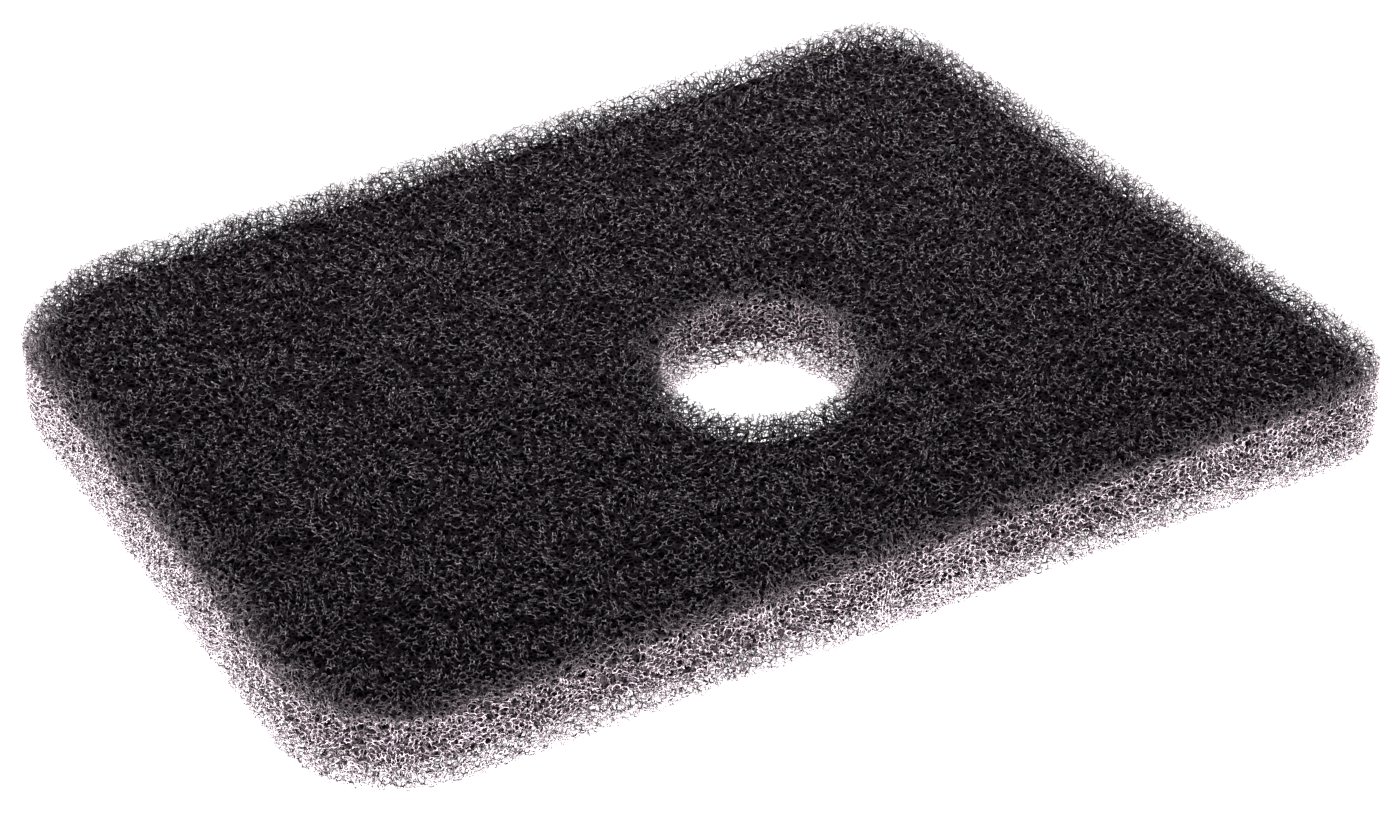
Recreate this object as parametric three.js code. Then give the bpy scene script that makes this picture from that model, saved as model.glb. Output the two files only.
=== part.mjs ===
// A flat filter pad, die-cut from one sheet of reticulated foam.
// The outline is a right-angled trapezoid with rounded corners: the left end is square to
// the two long edges, and the right end slants inwards towards the back. One round hole goes
// straight through the sheet, off its centre.
// Millimetres, +X along the front edge, +Y towards the back, +Z up. The origin is at the
// centre of the underside's bounding rectangle, so the pad lies on the plane z = 0.
import * as THREE from 'three';

// Outline, measured between the sharp corners that the rounded ones replace.
const frontLength = 145;
const backLength = 130;
const padWidth = 100;
const padThickness = 10;

const frontLeftRadius = 16;
const frontRightRadius = 11;
const backRightRadius = 11;
const backLeftRadius = 19;

// Hole, placed from the square left end and the front edge.
const holeDiameter = 23;
const holeFromLeftEnd = 77;
const holeFromFrontEdge = 42;

// An arc gets twice this many straight steps.
const stepsPerHalfArc = 20;

const foamColour = 0x2b2729;
const foamRoughness = 0.95;

// Adds one rounded corner to the path: an arc that touches the edges to the corners before
// and after it. The path runs anticlockwise.
function addRoundedCorner(path, before, corner, after, radius) {
  const toBefore = before.clone().sub(corner).normalize();
  const toAfter = after.clone().sub(corner).normalize();
  const halfAngle = Math.acos(toBefore.dot(toAfter)) / 2;
  const tangentLength = radius / Math.tan(halfAngle);
  const inwards = toBefore.clone().add(toAfter).normalize();
  const centre = inwards.multiplyScalar(radius / Math.sin(halfAngle)).add(corner);
  const startPoint = toBefore.multiplyScalar(tangentLength).add(corner);
  const endPoint = toAfter.multiplyScalar(tangentLength).add(corner);
  const startAngle = startPoint.sub(centre).angle();
  const endAngle = endPoint.sub(centre).angle();
  path.absarc(centre.x, centre.y, radius, startAngle, endAngle, false);
}

function makePadOutline() {
  const corners = [
    { at: new THREE.Vector2(0, 0), radius: frontLeftRadius },
    { at: new THREE.Vector2(frontLength, 0), radius: frontRightRadius },
    { at: new THREE.Vector2(backLength, padWidth), radius: backRightRadius },
    { at: new THREE.Vector2(0, padWidth), radius: backLeftRadius },
  ];
  const outline = new THREE.Shape();
  corners.forEach((corner, index) => {
    const before = corners[(index + corners.length - 1) % corners.length];
    const after = corners[(index + 1) % corners.length];
    addRoundedCorner(outline, before.at, corner.at, after.at, corner.radius);
  });
  outline.closePath();
  return outline;
}

function makeHoleOutline() {
  const hole = new THREE.Path();
  hole.absarc(holeFromLeftEnd, holeFromFrontEdge, holeDiameter / 2, 0, 2 * Math.PI, true);
  return hole;
}

function makeFoamPad() {
  const outline = makePadOutline();
  outline.holes.push(makeHoleOutline());
  const geometry = new THREE.ExtrudeGeometry(outline, {
    depth: padThickness,
    bevelEnabled: false,
    curveSegments: stepsPerHalfArc,
  });
  const material = new THREE.MeshStandardMaterial({
    color: foamColour,
    roughness: foamRoughness,
    metalness: 0,
  });
  const pad = new THREE.Mesh(geometry, material);
  pad.name = 'foam_pad';

  // Centres the pad over the origin, with its underside at z = 0.
  geometry.computeBoundingBox();
  const centre = geometry.boundingBox.getCenter(new THREE.Vector3());
  pad.position.set(-centre.x, -centre.y, 0);
  return pad;
}

const spongeFilter = new THREE.Group();
spongeFilter.add(makeFoamPad());

export default spongeFilter;
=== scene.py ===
import math
import bpy
import numpy as np
from mathutils import Matrix, Vector


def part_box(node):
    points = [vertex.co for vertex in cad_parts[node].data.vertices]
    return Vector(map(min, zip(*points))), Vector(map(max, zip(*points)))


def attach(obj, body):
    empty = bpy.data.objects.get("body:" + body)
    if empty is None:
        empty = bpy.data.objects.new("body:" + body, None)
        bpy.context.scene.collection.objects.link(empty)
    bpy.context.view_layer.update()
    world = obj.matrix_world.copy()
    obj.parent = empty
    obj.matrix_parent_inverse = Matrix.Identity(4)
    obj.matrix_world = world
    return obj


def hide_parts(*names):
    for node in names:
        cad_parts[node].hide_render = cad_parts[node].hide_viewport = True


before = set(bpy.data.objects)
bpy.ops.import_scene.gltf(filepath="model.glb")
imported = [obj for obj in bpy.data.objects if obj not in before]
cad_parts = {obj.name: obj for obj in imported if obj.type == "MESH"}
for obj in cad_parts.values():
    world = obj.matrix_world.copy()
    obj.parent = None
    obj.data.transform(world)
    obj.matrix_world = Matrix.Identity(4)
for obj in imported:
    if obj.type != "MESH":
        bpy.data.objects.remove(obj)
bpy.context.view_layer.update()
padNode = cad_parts["foam_pad"]
padLow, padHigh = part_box("foam_pad")
padCentre = (padLow + padHigh) / 2
print("frame loaded")

# Camera, floor and light

view = {
    "azimuth": -28.74,          # degrees
    "elevation": 36.74,
    "roll": -0.38,
    "distance": 0.680,          # from the aim, in metres
    "lens": 148.2,              # millimetres
    "aimAcross": -0.0061,       # the aim on the top face, from the middle of the pad
    "aimBack": -0.0144,
    "nearClip": 0.01,
}

studio = {
    "floorSize": 30.0,
    "floorPaint": (0.8, 0.8, 0.8, 1),
    "floorColour": (1.0, 0.92, 0.94, 1),    # of the light that the floor throws up
    "floorGlow": 24.0,                      # and how much of it
    "roomColour": (0.97, 0.92, 1.0, 1),
    "roomGlow": 0.08,
    "white": 1.1,                           # how bright the floor and the room look
}


def backDirection(azimuth, elevation):
    # From the pad to the camera or a lamp, by its angles in radians.
    across = math.cos(elevation)
    return Vector((math.sin(azimuth) * across, -math.cos(azimuth) * across, math.sin(elevation)))


def placeCamera():
    back = backDirection(math.radians(view["azimuth"]), math.radians(view["elevation"]))
    aim = Vector((padCentre.x + view["aimAcross"], padCentre.y + view["aimBack"], padHigh.z))
    right = Vector((0, 0, 1)).cross(back).normalized()
    turn = Matrix((right, back.cross(right), back)).transposed()
    roll = Matrix.Rotation(math.radians(view["roll"]), 3, "Z")
    bpy.ops.object.camera_add(location=aim + back * view["distance"])
    camera = bpy.context.object
    camera.name = "camera"
    camera.rotation_euler = (turn @ roll).to_euler()
    camera.data.lens = view["lens"]
    camera.data.clip_start = view["nearClip"]
    bpy.context.scene.camera = camera


def showWhite(tree, lit):
    # Plain white to the eye, and the given shader to everything else.
    nodes, links = tree.nodes, tree.links
    seen = nodes.new("ShaderNodeEmission")
    seen.inputs["Strength"].default_value = studio["white"]
    path = nodes.new("ShaderNodeLightPath")
    mix = nodes.new("ShaderNodeMixShader")
    links.new(path.outputs["Is Camera Ray"], mix.inputs["Fac"])
    links.new(lit, mix.inputs[1])
    links.new(seen.outputs["Emission"], mix.inputs[2])
    return mix.outputs["Shader"]


def addFloor():
    bpy.ops.mesh.primitive_plane_add(size=studio["floorSize"], location=(0, 0, padLow.z))
    floor = bpy.context.object
    floor.name = "floor"
    material = bpy.data.materials.new("paleFloor")
    material.use_nodes = True
    tree = material.node_tree
    shader = tree.nodes["Principled BSDF"]
    shader.inputs["Base Color"].default_value = studio["floorPaint"]
    shader.inputs["Emission Color"].default_value = studio["floorColour"]
    shader.inputs["Emission Strength"].default_value = studio["floorGlow"]
    shown = showWhite(tree, shader.outputs["BSDF"])
    tree.links.new(shown, tree.nodes["Material Output"].inputs["Surface"])
    floor.data.materials.append(material)


def addRoom():
    world = bpy.data.worlds.new("room")
    world.use_nodes = True
    bpy.context.scene.world = world
    tree = world.node_tree
    room = tree.nodes["Background"]
    room.inputs["Color"].default_value = studio["roomColour"]
    room.inputs["Strength"].default_value = studio["roomGlow"]
    shown = showWhite(tree, room.outputs["Background"])
    tree.links.new(shown, tree.nodes["World Output"].inputs["Surface"])


# Angles in degrees, distances and sizes in metres, power in watts.
lamps = [
    {"name": "frontLamp", "azimuth": -10, "elevation": 3, "distance": 0.9,
     "size": (1.2, 0.09), "power": 9, "colour": (1.0, 0.94, 1.0)},
    {"name": "leftLamp", "azimuth": -80, "elevation": 1.5, "distance": 0.9,
     "size": (1.2, 0.04), "power": 30, "colour": (1.0, 0.95, 1.0)},
    {"name": "highLamp", "azimuth": -25, "elevation": 10, "distance": 1.6,
     "size": (0.8, 0.3), "power": 14, "colour": (1.0, 0.93, 1.0)},
    {"name": "backLamp", "azimuth": 151, "elevation": 34, "distance": 0.36,
     "size": (0.30, 0.12), "power": 3.3, "colour": (0.97, 0.92, 1.0)},
]


def addLamp(lamp):
    back = backDirection(math.radians(lamp["azimuth"]), math.radians(lamp["elevation"]))
    bpy.ops.object.light_add(type="AREA", location=padCentre + back * lamp["distance"])
    light = bpy.context.object
    light.name = lamp["name"]
    light.rotation_euler = back.to_track_quat("Z", "Y").to_euler()
    light.data.shape = "RECTANGLE"
    light.data.size, light.data.size_y = lamp["size"]
    light.data.energy = lamp["power"]
    light.data.color = lamp["colour"]


placeCamera()
addFloor()
addRoom()
for lamp in lamps:
    addLamp(lamp)
bpy.context.scene.view_settings.view_transform = "Standard"
print("camera and light placed")

# Materials

fineLook = {
    "name": "foamWeb",
    "dark": (0.013, 0.0109, 0.0125, 1),
    "light": (0.090, 0.0750, 0.0860, 1),
    "paintedWallLight": 1.4,            # painted light: how many times paler struts are drawn at the walls, where the lamps and the floor light them
    "wallFade": 0.0007,         # and how far in that ends
    "roughness": 0.36,
    "gloss": 0.5,
    "grain": 1300.0,            # patches to a metre
    "grainDetail": 1.0,
    "spread": (0.40, 0.60),     # where in the noise the dark ends and the light begins
}

# Painted shade: the deep web is the same foam drawn several times darker, for the shade that falls
# deep in the pad.
deepShadeLook = {
    "name": "foamDeepWebShade",
    "dark": (0.004, 0.0034, 0.0038, 1),
    "light": (0.016, 0.0135, 0.0152, 1),
    # painted light: deep struts drawn four times paler near the walls, where light comes in
    "paintedWallLight": 4.0,
    "wallFade": 0.0056,
    "roughness": 0.6,
    "gloss": 0.15,
    "grain": 700.0,
    "grainDetail": 1.0,
    "spread": (0.35, 0.65),
}

coreShadeLook = {
    "name": "foamCoreShade",
    # painted shade: near-black hollows and dim struts for the foam that lies in shade
    "hollow": (0.0015, 0.0012, 0.0014, 1),
    "strut": (0.022, 0.018, 0.021, 1),
    "roughness": 0.9,
    "gloss": 0.0,
    "cells": 1250.0,            # cells to a metre
    "strutShare": 0.16,         # half the width of a strut, in cells
    "warp": 0.0005,             # how far the cells are pushed out of shape
    "warpScale": 625.0,         # bends to a metre
}


def newMaterial(look):
    material = bpy.data.materials.new(look["name"])
    material.use_nodes = True
    nodes, links = material.node_tree.nodes, material.node_tree.links
    shader = nodes["Principled BSDF"]
    shader.inputs["Roughness"].default_value = look["roughness"]
    shader.inputs["Specular IOR Level"].default_value = look["gloss"]
    return material, nodes, links, shader


def addRamp(nodes, low, lowColour, high, highColour):
    ramp = nodes.new("ShaderNodeValToRGB")
    ramp.color_ramp.elements[0].position = low
    ramp.color_ramp.elements[0].color = lowColour
    ramp.color_ramp.elements[1].position = high
    ramp.color_ramp.elements[1].color = highColour
    return ramp


def webMaterial(look):
    # Struts of dyed foam, some paler than others at random, with painted light: drawn paler at the
    # walls, where the lamps and the floor light them.
    material, nodes, links, shader = newMaterial(look)
    place = nodes.new("ShaderNodeTexCoord")
    grain = nodes.new("ShaderNodeTexNoise")
    grain.inputs["Scale"].default_value = look["grain"]
    grain.inputs["Detail"].default_value = look["grainDetail"]
    links.new(place.outputs["Object"], grain.inputs["Vector"])
    low, high = look["spread"]
    ramp = addRamp(nodes, low, look["dark"], high, look["light"])
    links.new(grain.outputs["Fac"], ramp.inputs["Fac"])
    # Painted light: the colour is scaled up the nearer a strut is to the walls.
    wall = nodes.new("ShaderNodeAttribute")
    wall.attribute_name = "fromWall"
    fade = nodes.new("ShaderNodeMapRange")
    fade.inputs["From Max"].default_value = look["wallFade"]
    fade.inputs["To Min"].default_value = look["paintedWallLight"]
    fade.inputs["To Max"].default_value = 1.0
    links.new(wall.outputs["Fac"], fade.inputs["Value"])
    gain = nodes.new("ShaderNodeVectorMath")
    gain.operation = "SCALE"
    links.new(ramp.outputs["Color"], gain.inputs[0])
    links.new(fade.outputs["Result"], gain.inputs["Scale"])
    links.new(gain.outputs["Vector"], shader.inputs["Base Color"])
    return material


def coreMaterial():
    # Deeper struts, drawn dim on the core as the walls of a warped pattern of cells, over
    # near-black hollows: painted shade of the foam deeper in.
    material, nodes, links, shader = newMaterial(coreShadeLook)
    place = nodes.new("ShaderNodeTexCoord")
    noise = nodes.new("ShaderNodeTexNoise")
    noise.inputs["Scale"].default_value = coreShadeLook["warpScale"]
    links.new(place.outputs["Object"], noise.inputs["Vector"])
    warp = nodes.new("ShaderNodeVectorMath")
    warp.operation = "MULTIPLY_ADD"
    warp.inputs[1].default_value = [coreShadeLook["warp"]] * 3
    links.new(noise.outputs["Color"], warp.inputs[0])
    links.new(place.outputs["Object"], warp.inputs[2])
    cells = nodes.new("ShaderNodeTexVoronoi")
    cells.feature = "DISTANCE_TO_EDGE"
    cells.inputs["Scale"].default_value = coreShadeLook["cells"]
    links.new(warp.outputs["Vector"], cells.inputs["Vector"])
    ramp = addRamp(nodes, 0.0, coreShadeLook["strut"], coreShadeLook["strutShare"], coreShadeLook["hollow"])
    links.new(cells.outputs["Distance"], ramp.inputs["Fac"])
    links.new(ramp.outputs["Color"], shader.inputs["Base Color"])
    return material


# Foam: an open web of struts, the edges of cells that pack like those of real foam. Each
# block of the grid holds two cells, each node joins four struts, and four cells meet at it.
# A strut is a three-sided bar between two nodes, with a corner towards each of the three
# cells that it borders, so the bars join at the nodes into one closed skin. A fine web makes
# the skin of the pad, and a coarser one fills its see-through edges, round a dark core.
# The core's near-black colour is painted shade, for the deeper foam that lies in shade.

foam = {
    "turn": (0.772, 1.217, 1.077),   # radians; no row of cells lines up with a face
    "radiusSpread": 0.22,            # how unlike the struts are, as a share of their radius
    "spreadLimit": 2,                # and at most so many times as unlike
    "topDepth": 0.00030,             # how deep the fine web goes under each face of the pad
    "undersideDepth": 0.00010,
    "wallDepth": 0.00038,            # and at the walls, and at the edges of the two faces
    "coreInset": 0.0014,             # the core's distance from the walls
    "rimReach": 0.0056,              # how far the open edge goes in from the rim, and down
    "rimDrop": 0.0041,
    "footReach": 0.0054,             # and in from the foot, and up
    "footRise": 0.0039,
    "uneven": 0.4,                   # how ragged a web ends, in blocks
    "shortestStub": 0.15,            # a strut cut shorter than this share is left off
    "embedded": 0.0001,              # nearer the core than this, no strut goes on into it
    "waves": 14,                     # waves bend the rows of cells
    "waveLength": (0.0022, 0.016),   # the shortest and the longest
    "waveSlope": 0.13,
    "margin": 2.4,                   # how far past its ends a web is laid out, in blocks
    "stray": 0.002,                  # the most that the waves move a cell
    "mapStep": 0.0005,               # the grid on which distances to the walls are kept
    "mapBorder": 6,                  # in steps
}

fineWeb = {
    "block": 0.00094,                # side of a block of two cells
    "jitter": 0.5,                   # how far a cell's middle may stray, in blocks
    "strutRadius": 0.000078,
    "wallThinness": 0.85,            # how thin struts are at the walls, as a share
    "footExtra": 0.35,               # how much thicker at the foot of the walls
    "rimLess": 0.35,                 # how much thinner on the top face near its edges
    "outside": "inPad",              # the two surfaces that it fills the room between
    "inside": "underSkin",
    "seed": 7,
}

deepWeb = {
    "block": 0.00184,
    "jitter": 0.66,
    "strutRadius": 0.000134,
    "wallThinness": 0.8,
    "footExtra": 0.0,
    "rimLess": 0.0,
    "outside": "underSkin",
    "inside": "inCore",
    "seed": 17,
}


def addPiece(name, mesh):
    piece = bpy.data.objects.new(name, mesh)
    bpy.context.scene.collection.objects.link(piece)
    return piece


def meshPoints(mesh):
    points = np.empty(len(mesh.vertices) * 3, np.float32)
    mesh.vertices.foreach_get("co", points)
    return points.reshape(-1, 3)


def wallSegments(node):
    # The pad's outline as loose straight steps, taken from the walls of the CAD node.
    mesh = node.data
    mesh.calc_loop_triangles()
    corners = np.empty(len(mesh.loop_triangles) * 3, np.int32)
    mesh.loop_triangles.foreach_get("vertices", corners)
    triangles = meshPoints(mesh).astype(float)[corners.reshape(-1, 3)]
    onWall = triangles[:, :, 2].min(1) < padCentre.z
    segments = []
    for first, second in ((0, 1), (1, 2), (2, 0)):
        ends = triangles[:, [first, second]]
        onTop = (ends[:, :, 2] > padCentre.z).all(1)
        segments.append(ends[onTop & onWall][:, :, :2])
    return np.concatenate(segments)


def depthMap(segments):
    # How far each point of a fine grid is inside the outline; negative outside it.
    step = foam["mapStep"]
    low = segments.min((0, 1)) - foam["mapBorder"] * step
    high = segments.max((0, 1)) + foam["mapBorder"] * step
    xs = np.arange(low[0], high[0] + step, step)
    ys = np.arange(low[1], high[1] + step, step)
    gridX, gridY = np.meshgrid(xs, ys, indexing="ij")
    places = np.stack([gridX.ravel(), gridY.ravel()], 1)
    nearest = np.full(len(places), np.inf)
    crossings = np.zeros(len(places), int)
    for start, end in segments:
        along = end - start
        offset = places - start
        share = (offset @ along / (along @ along)).clip(0, 1)
        offset -= share[:, None] * along
        nearest = np.minimum(nearest, np.hypot(offset[:, 0], offset[:, 1]))
        spans = (start[1] > places[:, 1]) != (end[1] > places[:, 1])
        if spans.any():
            crossX = start[0] + (places[:, 1] - start[1]) / along[1] * along[0]
            crossings += spans & (places[:, 0] < crossX)
    signed = np.where(crossings % 2 == 1, nearest, -nearest).reshape(gridX.shape)
    return {"low": low, "step": step, "depth": signed}


def depthAt(places, grid):
    # The distance from the walls at any place, between the four grid points around it.
    where = (places[:, :2] - grid["low"]) / grid["step"]
    limit = np.array(grid["depth"].shape) - 2
    cell = np.floor(where).astype(int).clip(0, limit)
    part = (where - cell).clip(0, 1)
    depth, i, j = grid["depth"], cell[:, 0], cell[:, 1]
    low = depth[i, j] * (1 - part[:, 0]) + depth[i + 1, j] * part[:, 0]
    high = depth[i, j + 1] * (1 - part[:, 0]) + depth[i + 1, j + 1] * part[:, 0]
    return low * (1 - part[:, 1]) + high * part[:, 1]


def slantDepth(wall, flat, reach, drop):
    # How far inside the slanted face of the core that cuts off one of its edges.
    return (wall / reach + flat / drop - 1) * reach * drop / math.hypot(reach, drop)


def depthsOf(places, grid):
    # How far each place is from the walls, and how deep it is in the pad, in the room under
    # the fine web and in the core; less than nothing outside them.
    wall = depthAt(places, grid)
    top, underside = padHigh.z - places[:, 2], places[:, 2] - padLow.z
    edge = (1 - wall / foam["rimReach"]).clip(0, 1)
    topSkin = foam["topDepth"] + (foam["wallDepth"] - foam["topDepth"]) * edge
    undersideSkin = foam["undersideDepth"] + (foam["wallDepth"] - foam["undersideDepth"]) * edge
    inCore = np.minimum.reduce([
        wall - foam["coreInset"], top - foam["topDepth"], underside - foam["undersideDepth"],
        slantDepth(wall, top, foam["rimReach"], foam["rimDrop"]),
        slantDepth(wall, underside, foam["footReach"], foam["footRise"]),
    ])
    return {
        "wall": wall,
        "inPad": np.minimum.reduce([wall, top, underside]),
        "underSkin": np.minimum.reduce([
            wall - foam["wallDepth"], top - topSkin, underside - undersideSkin,
        ]),
        "inCore": inCore,
    }


# Places inside a block are counted in quarters of its side. A node has one odd coordinate,
# one that is a multiple of 4 and one that is 2 more than a multiple of 4.
nodeKinds = [
    (x, y, z) for x in range(4) for y in range(4) for z in range(4)
    if (x % 2 + y % 2 + z % 2) == 1 and sum(c for c in (x, y, z) if c % 2 == 0) == 2
]


def move(axis, size, otherAxis, otherSize):
    steps = [0, 0, 0]
    steps[axis] = size
    steps[otherAxis] = otherSize
    return tuple(steps)


def aroundNode(kind):
    # The four cells and the four neighbours of a node, as moves from it.
    odd = next(i for i in range(3) if kind[i] % 2)
    low = next(i for i in range(3) if kind[i] % 4 == 0)
    high = next(i for i in range(3) if kind[i] % 4 == 2)
    down = 1 if kind[odd] % 4 == 3 else -1
    cells = [move(odd, down, high, 2), move(odd, down, high, -2),
             move(odd, -down, low, 2), move(odd, -down, low, -2)]
    neighbours = [move(odd, -down, high, 1), move(odd, -down, high, -1),
                  move(odd, down, low, 1), move(odd, down, low, -1)]
    return cells, neighbours


def strutPlans():
    # Each kind of strut once: its two kinds of node and the three cells that it borders, in
    # turn round it, by their numbers at either end.
    plans = []
    for kindNumber, kind in enumerate(nodeKinds):
        cells, neighbours = aroundNode(kind)
        for steps in neighbours:
            if steps < (0, 0, 0):
                continue
            place = tuple(np.add(kind, steps))
            otherKind = tuple(c % 4 for c in place)
            otherCells = [tuple(np.add(place, c)) for c in aroundNode(otherKind)[0]]
            shared = [(i, otherCells.index(tuple(np.add(kind, c))))
                      for i, c in enumerate(cells) if tuple(np.add(kind, c)) in otherCells]
            along = Vector(steps).normalized()
            side = along.orthogonal().normalized()
            up = along.cross(side)
            shared.sort(key=lambda pair: math.atan2(Vector(cells[pair[0]]).dot(up),
                                                    Vector(cells[pair[0]]).dot(side)))
            plans.append({"kind": kindNumber, "other": nodeKinds.index(otherKind),
                          "blockMove": tuple(c // 4 for c in place),
                          "slots": [a for a, b in shared], "otherSlots": [b for a, b in shared]})
    return plans


def makeWaves(random):
    # The headings, lengths and phases of the waves that move places along each axis.
    count = foam["waves"]
    headings = random.normal(size=(3, count, 3))
    headings /= np.linalg.norm(headings, axis=2, keepdims=True)
    shortest, longest = foam["waveLength"]
    lengths = shortest * (longest / shortest) ** random.random((3, count))
    phases = random.uniform(0, 2 * math.pi, (3, count))
    return headings, lengths, phases


def wander(places, waves):
    # Moves places with the waves, which bends the rows of cells.
    moved = places.copy()
    for axis, (headings, lengths, phases) in enumerate(zip(*waves)):
        for heading, length, phase in zip(headings, lengths, phases):
            turns = places @ (heading * 2 * math.pi / length)
            moved[:, axis] += foam["waveSlope"] * length / (2 * math.pi) * np.sin(turns + phase)
    return moved


def latticeTurn():
    turn = Matrix.Identity(3)
    for axis, angle in zip("XYZ", foam["turn"]):
        turn = Matrix.Rotation(angle, 3, axis) @ turn
    return np.array(turn)


def growNodes(look, grid):
    # The blocks where the web is, the places of their nodes, and the ways from each node to
    # the four cells around it.
    random = np.random.default_rng(look["seed"])
    block, turn, middle = look["block"], latticeTurn(), np.array(padCentre)
    boxCorners = np.array([[x, y, z] for x in (padLow.x, padHigh.x) for y in (padLow.y, padHigh.y)
                           for z in (padLow.z, padHigh.z)])
    turned = (boxCorners - middle) @ turn / block
    border = math.ceil(foam["margin"] + foam["stray"] / block)
    first = np.floor(turned.min(0)).astype(int) - border
    counts = np.ceil(turned.max(0)).astype(int) + border - first
    waves = makeWaves(random)
    strays = random.random((*(counts + 2), 2, 3), np.float32)
    strays = (strays - 0.5) * look["jitter"]
    blocks = np.stack(np.meshgrid(*map(np.arange, counts), indexing="ij"), -1).reshape(-1, 3)
    centres = (blocks + first + 0.5) * block @ turn.T + middle
    # Only blocks in the web, or within the margin of it, go on.
    reach = foam["margin"] * block
    nearBox = np.abs(centres - middle) < np.array(padHigh - padCentre) + reach + foam["stray"]
    blocks, centres = blocks[nearBox.all(1)], wander(centres[nearBox.all(1)], waves)
    depths = depthsOf(centres, grid)
    blocks = blocks[(depths[look["outside"]] > -reach) & (depths[look["inside"]] < reach)]

    places, towards = [], []
    for kind in nodeKinds:
        cells = []
        for steps in aroundNode(kind)[0]:
            quarter = np.add(kind, steps)
            home = blocks + quarter // 4
            second = int(quarter[0] % 4 == 2)       # whether it is its block's second cell
            stray = strays[home[:, 0] + 1, home[:, 1] + 1, home[:, 2] + 1, second]
            cells.append(home + second * 0.5 + stray)
        cells = np.stack(cells, 1)
        node = cells.mean(1)
        offset = cells - node[:, None]
        offset /= np.linalg.norm(offset, axis=2, keepdims=True)
        places.append((node + first) * block @ turn.T + middle)
        towards.append(offset @ turn.T)
    number = np.full(counts, -1)
    number[tuple(blocks.T)] = np.arange(len(blocks))
    places = wander(np.stack(places, 1).reshape(-1, 3), waves)
    return blocks, number, places, np.stack(towards, 1).reshape(-1, 4, 3)


def growStruts(blocks, number, kept):
    # Every strut with a kept node, in a row: its two nodes, and its three corners at each.
    struts = []
    counts = np.array(number.shape)
    for plan in strutPlans():
        other = blocks + plan["blockMove"]
        inside = ((other >= 0) & (other < counts)).all(1)
        starts = np.flatnonzero(inside)
        ends = number[tuple(other[starts].T)]
        starts, ends = starts[ends >= 0], ends[ends >= 0]
        startNodes = starts * len(nodeKinds) + plan["kind"]
        endNodes = ends * len(nodeKinds) + plan["other"]
        wanted = kept[startNodes] | kept[endNodes]
        startNodes, endNodes = startNodes[wanted], endNodes[wanted]
        startCorners = startNodes[:, None] * 4 + plan["slots"]
        endCorners = endNodes[:, None] * 4 + plan["otherSlots"]
        struts.append(np.column_stack([startNodes, endNodes, startCorners, endCorners]))
    return np.concatenate(struts)


def growWeb(look, grid):
    # The whole web: what each node is like, where its four corners are, and its struts.
    blocks, number, places, towards = growNodes(look, grid)
    depths = depthsOf(places, grid)
    random = np.random.default_rng(look["seed"] + 1)
    ragged = random.uniform(-0.5, 0.5, len(places)) * foam["uneven"] * look["block"]
    kept = (depths[look["outside"]] > 0) & (depths[look["inside"]] < ragged)
    struts = growStruts(blocks, number, kept)
    # A node with no kept neighbour would float, so it is dropped.
    joined = np.zeros(len(places), bool)
    joined[struts[kept[struts[:, :2]].all(1), :2]] = True
    kept &= joined
    struts = struts[kept[struts[:, :2]].any(1)]

    unlike = random.normal(size=len(places)).clip(-foam["spreadLimit"], foam["spreadLimit"])
    thickness = 1 + foam["radiusSpread"] * unlike
    wallShare = (depths["wall"] / foam["rimReach"]).clip(0, 1)
    thickness *= look["wallThinness"] + (1 - look["wallThinness"]) * wallShare
    height = ((places[:, 2] - padLow.z) / (padHigh.z - padLow.z)).clip(0, 1)
    thickness *= 1 + look["footExtra"] * (1 - wallShare) * (1 - height) ** 2
    behindWall = (depths["wall"] / foam["wallDepth"]).clip(0, 1)
    thickness *= 1 - look["rimLess"] * (1 - wallShare) * behindWall * height ** 2
    corners = places[:, None] + towards * (look["strutRadius"] * thickness)[:, None, None]
    # Nodes without struts are left out, and the others and their corners numbered again.
    used, renumbered = np.unique(struts[:, :2], return_inverse=True)
    renumbered = renumbered.reshape(-1, 2)
    struts[:, 2:5] += (renumbered[:, :1] - struts[:, :1]) * 4
    struts[:, 5:] += (renumbered[:, 1:] - struts[:, 1:2]) * 4
    struts[:, :2] = renumbered
    return {"places": places[used], "outside": depths[look["outside"]][used],
            "inCore": depths["inCore"][used], "wall": depths["wall"][used], "kept": kept[used],
            "corners": corners[used].reshape(-1, 3), "struts": struts,
            "owner": np.full(len(used), -1)}


def cutShares(web, here, there):
    # Where a strut that leaves its piece ends, as a share of the way: at the outer surface of
    # the web, half way into another piece, or at once where it would only go into the core.
    depth, owner = web["outside"], web["owner"]
    surface = depth[here] / (depth[here] - depth[there] + 1e-12)    # never over nothing
    surface[surface < foam["shortestStub"]] = 0
    share = np.where(owner[there] >= 0, 0.5, 0.0)
    share[(owner[there] < 0) & (web["inCore"][here] < -foam["embedded"])] = 1
    return np.where(depth[there] <= 0, surface, share)


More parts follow.
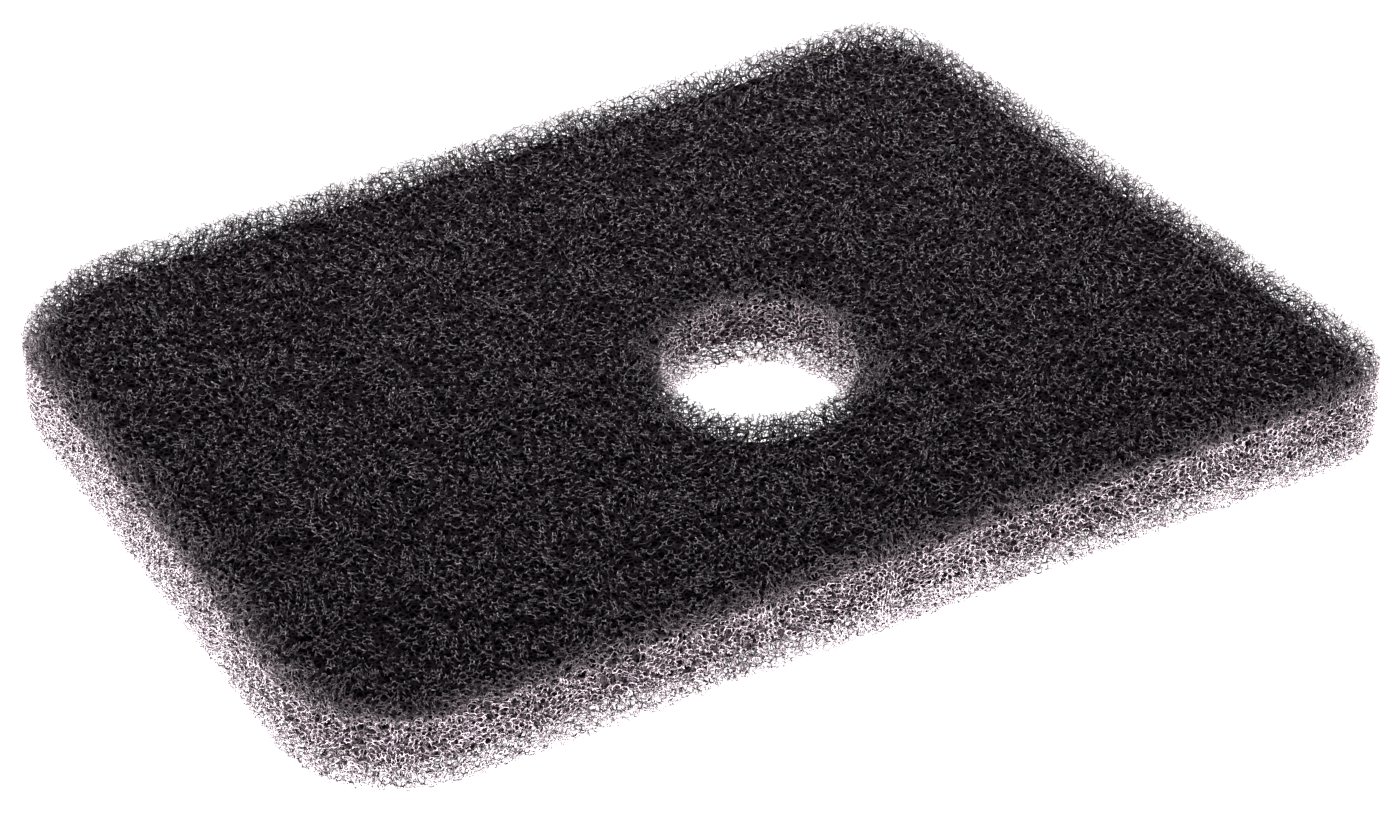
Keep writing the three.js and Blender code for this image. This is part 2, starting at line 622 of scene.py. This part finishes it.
def webPiece(name, web, pieceNumber):
    # The struts of the nodes that the piece owns, closed with a cap where they are cut.
    struts, owner, corners = web["struts"], web["owner"], web["corners"]
    startIn, endIn = owner[struts[:, 0]] == pieceNumber, owner[struts[:, 1]] == pieceNumber
    used = startIn | endIn
    struts, startIn, endIn = struts[used], startIn[used], endIn[used]
    leaves, enters = startIn & ~endIn, endIn & ~startIn
    startCorners, endCorners = struts[:, 2:5].copy(), struts[:, 5:].copy()
    bare = np.zeros(len(struts), bool)      # cut at the node itself: a cap and no sides
    points, pointCount = [corners], len(corners)
    for cut, here, there, hereCorners, thereCorners in (
            (leaves, 0, 1, startCorners, endCorners), (enters, 1, 0, endCorners, startCorners)):
        share = cutShares(web, struts[cut, here], struts[cut, there])
        near, far = corners[hereCorners[cut]], corners[thereCorners[cut]]
        points.append((near + (far - near) * share[:, None, None]).reshape(-1, 3))
        fresh = pointCount + np.arange(len(share) * 3).reshape(-1, 3)
        thereCorners[cut] = np.where(share[:, None] > 0, fresh, hereCorners[cut])
        bare[np.flatnonzero(cut)[share <= 0]] = True
        pointCount += len(share) * 3
    sides = []
    for side in range(3):
        following = (side + 1) % 3
        sides.append(np.column_stack([startCorners[:, side], startCorners[:, following],
                                      endCorners[:, following], endCorners[:, side]])[~bare])
    sides = np.concatenate(sides)
    caps = np.concatenate([endCorners[leaves], startCorners[enters][:, ::-1]])
    loops = np.concatenate([sides.ravel(), caps.ravel()])
    usedPoints, loops = np.unique(loops, return_inverse=True)
    return makeMesh(name, np.concatenate(points)[usedPoints], loops, len(sides), len(caps))


def makeMesh(name, points, loops, sideCount, capCount):
    mesh = bpy.data.meshes.new(name)
    mesh.vertices.add(len(points))
    mesh.vertices.foreach_set("co", points.astype(np.float32).ravel())
    mesh.loops.add(len(loops))
    mesh.loops.foreach_set("vertex_index", loops.astype(np.int32))
    loopStarts = np.concatenate([np.arange(sideCount) * 4, sideCount * 4 + np.arange(capCount) * 3])
    mesh.polygons.add(len(loopStarts))
    mesh.polygons.foreach_set("loop_start", loopStarts.astype(np.int32))
    mesh.update(calc_edges=True)
    print(name, sideCount * 2 + capCount, "triangles")
    return addPiece(name, mesh)


mapSlant = (0.31, 0.23)     # how far the map leans with height, so upright faces have a width


def addMap(piece, grid):
    # A map that looks down on the piece from a slant, and each point's distance from the walls.
    mesh = piece.data
    points = meshPoints(mesh)
    flat = points[:, :2] + points[:, 2:] * np.array(mapSlant, np.float32)
    flat = (flat - flat.min(0)) / (flat.max(0) - flat.min(0)).max()
    corners = np.empty(len(mesh.loops), np.int32)
    mesh.loops.foreach_get("vertex_index", corners)
    uvMap = mesh.uv_layers.new(name="OFBake")
    uvMap.data.foreach_set("uv", flat[corners].ravel())
    fromWall = mesh.attributes.new("fromWall", "FLOAT", "POINT")
    fromWall.data.foreach_set("value", depthAt(points, grid).astype(np.float32))


def claim(piece):
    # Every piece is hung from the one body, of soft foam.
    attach(piece, "root")


def shareOut(keys, count):
    # Shares nodes out evenly in the order of their keys.
    shares = np.empty(len(keys), int)
    shares[np.argsort(keys, kind="stable")] = np.arange(len(keys)) * count // len(keys)
    return shares


pieceCounts = {
    "foam_wall": 7,
    "foam_top": 4,
    "foam_underside": 2,
    "foam_deep": 2,
}


def splitFine(web):
    # Each set of pieces, the nodes in it, and by what they are shared out: by heading round
    # the walls, and in strips along the two flat faces.
    fromCentre = web["places"] - np.array(padCentre)
    heading = np.arctan2(fromCentre[:, 1], fromCentre[:, 0])
    atWall = web["wall"] < foam["rimReach"]
    onTop = fromCentre[:, 2] > 0
    return [("foam_wall", atWall, heading), ("foam_top", ~atWall & onTop, fromCentre[:, 0]),
            ("foam_underside", ~atWall & ~onTop, fromCentre[:, 0])]


def splitDeep(web):
    fromCentre = web["places"] - np.array(padCentre)
    heading = np.arctan2(fromCentre[:, 1], fromCentre[:, 0])
    return [("foam_deep", web["wall"] > 0, heading)]


def buildWeb(look, split, finish, grid):
    web = growWeb(look, grid)
    print("web grown:", web["kept"].sum(), "nodes", len(web["struts"]), "struts")
    names = []
    for prefix, members, keys in split(web):
        count = pieceCounts[prefix]
        members = members & web["kept"]
        web["owner"][members] = len(names) + shareOut(keys[members], count)
        names += [f"{prefix}_{share + 1}" for share in range(count)]
    for pieceNumber, name in enumerate(names):
        piece = webPiece(name, web, pieceNumber)
        piece.data.materials.append(finish)
        addMap(piece, grid)
        claim(piece)


depthGrid = depthMap(wallSegments(padNode))
buildWeb(fineWeb, splitFine, webMaterial(fineLook), depthGrid)
buildWeb(deepWeb, splitDeep, webMaterial(deepShadeLook), depthGrid)
print("webs built")

core = {
    "merge": 1e-6,
    "voxel": 0.00085,
    "relief": 0.0007,           # how deep its hollows are
    "reliefSize": 0.0012,       # and how wide
}


def coreRings():
    # The height and the distance from the walls of the core's four outlines, lowest first.
    # The hollows take off half their depth, so the outlines stand out by as much.
    inset, grown = foam["coreInset"], core["relief"] / 2
    footShare = foam["undersideDepth"] / foam["footRise"]
    rimShare = foam["topDepth"] / foam["rimDrop"]
    footEnd = foam["footRise"] * (1 - inset / foam["footReach"])
    rimEnd = foam["rimDrop"] * (1 - inset / foam["rimReach"])
    return [
        (padLow.z + foam["undersideDepth"], foam["footReach"] * (1 - footShare) - grown),
        (padLow.z + footEnd, inset - grown),
        (padHigh.z - rimEnd, inset - grown),
        (padHigh.z - foam["topDepth"], foam["rimReach"] * (1 - rimShare) - grown),
    ]


def buildCore():
    # The pad's own shape, drawn in from every face, with slanted edges and a rough skin.
    mesh = padNode.data.copy()
    piece = addPiece("foam_core", mesh)
    bpy.ops.object.select_all(action="DESELECT")
    bpy.context.view_layer.objects.active = piece
    piece.select_set(True)
    rings = coreRings()
    levels = [padLow.z, rings[1][0], rings[2][0], padHigh.z]
    bpy.ops.object.mode_set(mode="EDIT")
    bpy.ops.mesh.select_all(action="SELECT")
    bpy.ops.mesh.remove_doubles(threshold=core["merge"])
    for height in levels[1:3]:
        bpy.ops.mesh.select_all(action="SELECT")
        bpy.ops.mesh.bisect(plane_co=(0, 0, height), plane_no=(0, 0, 1))
    bpy.ops.object.mode_set(mode="OBJECT")
    inwards = [Vector((0, 0, 0)) for vertex in mesh.vertices]
    for face in mesh.polygons:
        if abs(face.normal.z) < 0.5:        # a face of the walls
            for index in face.vertices:
                inwards[index] -= face.normal * face.area
    for vertex, inward in zip(mesh.vertices, inwards):
        ring = min(range(4), key=lambda level: abs(vertex.co.z - levels[level]))
        vertex.co += inward.normalized() * rings[ring][1]
        vertex.co.z = rings[ring][0]
    mesh.remesh_voxel_size = core["voxel"]
    bpy.ops.object.voxel_remesh()
    rough = bpy.data.textures.new("coreRelief", "CLOUDS")
    rough.noise_scale = core["reliefSize"]
    rough.noise_depth = 1
    displace = piece.modifiers.new("relief", "DISPLACE")
    displace.texture = rough
    displace.texture_coords = "LOCAL"
    displace.strength = -core["relief"]
    displace.mid_level = 0
    bpy.ops.object.modifier_apply(modifier=displace.name)
    piece.data.materials.clear()
    # Painted shade: the core is coloured near black, for the deeper foam in shade.
    piece.data.materials.append(coreMaterial())
    return piece


corePiece = buildCore()
print("foam_core", len(corePiece.data.polygons) * 2, "triangles")
claim(corePiece)
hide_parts("foam_pad")
print("foam built")
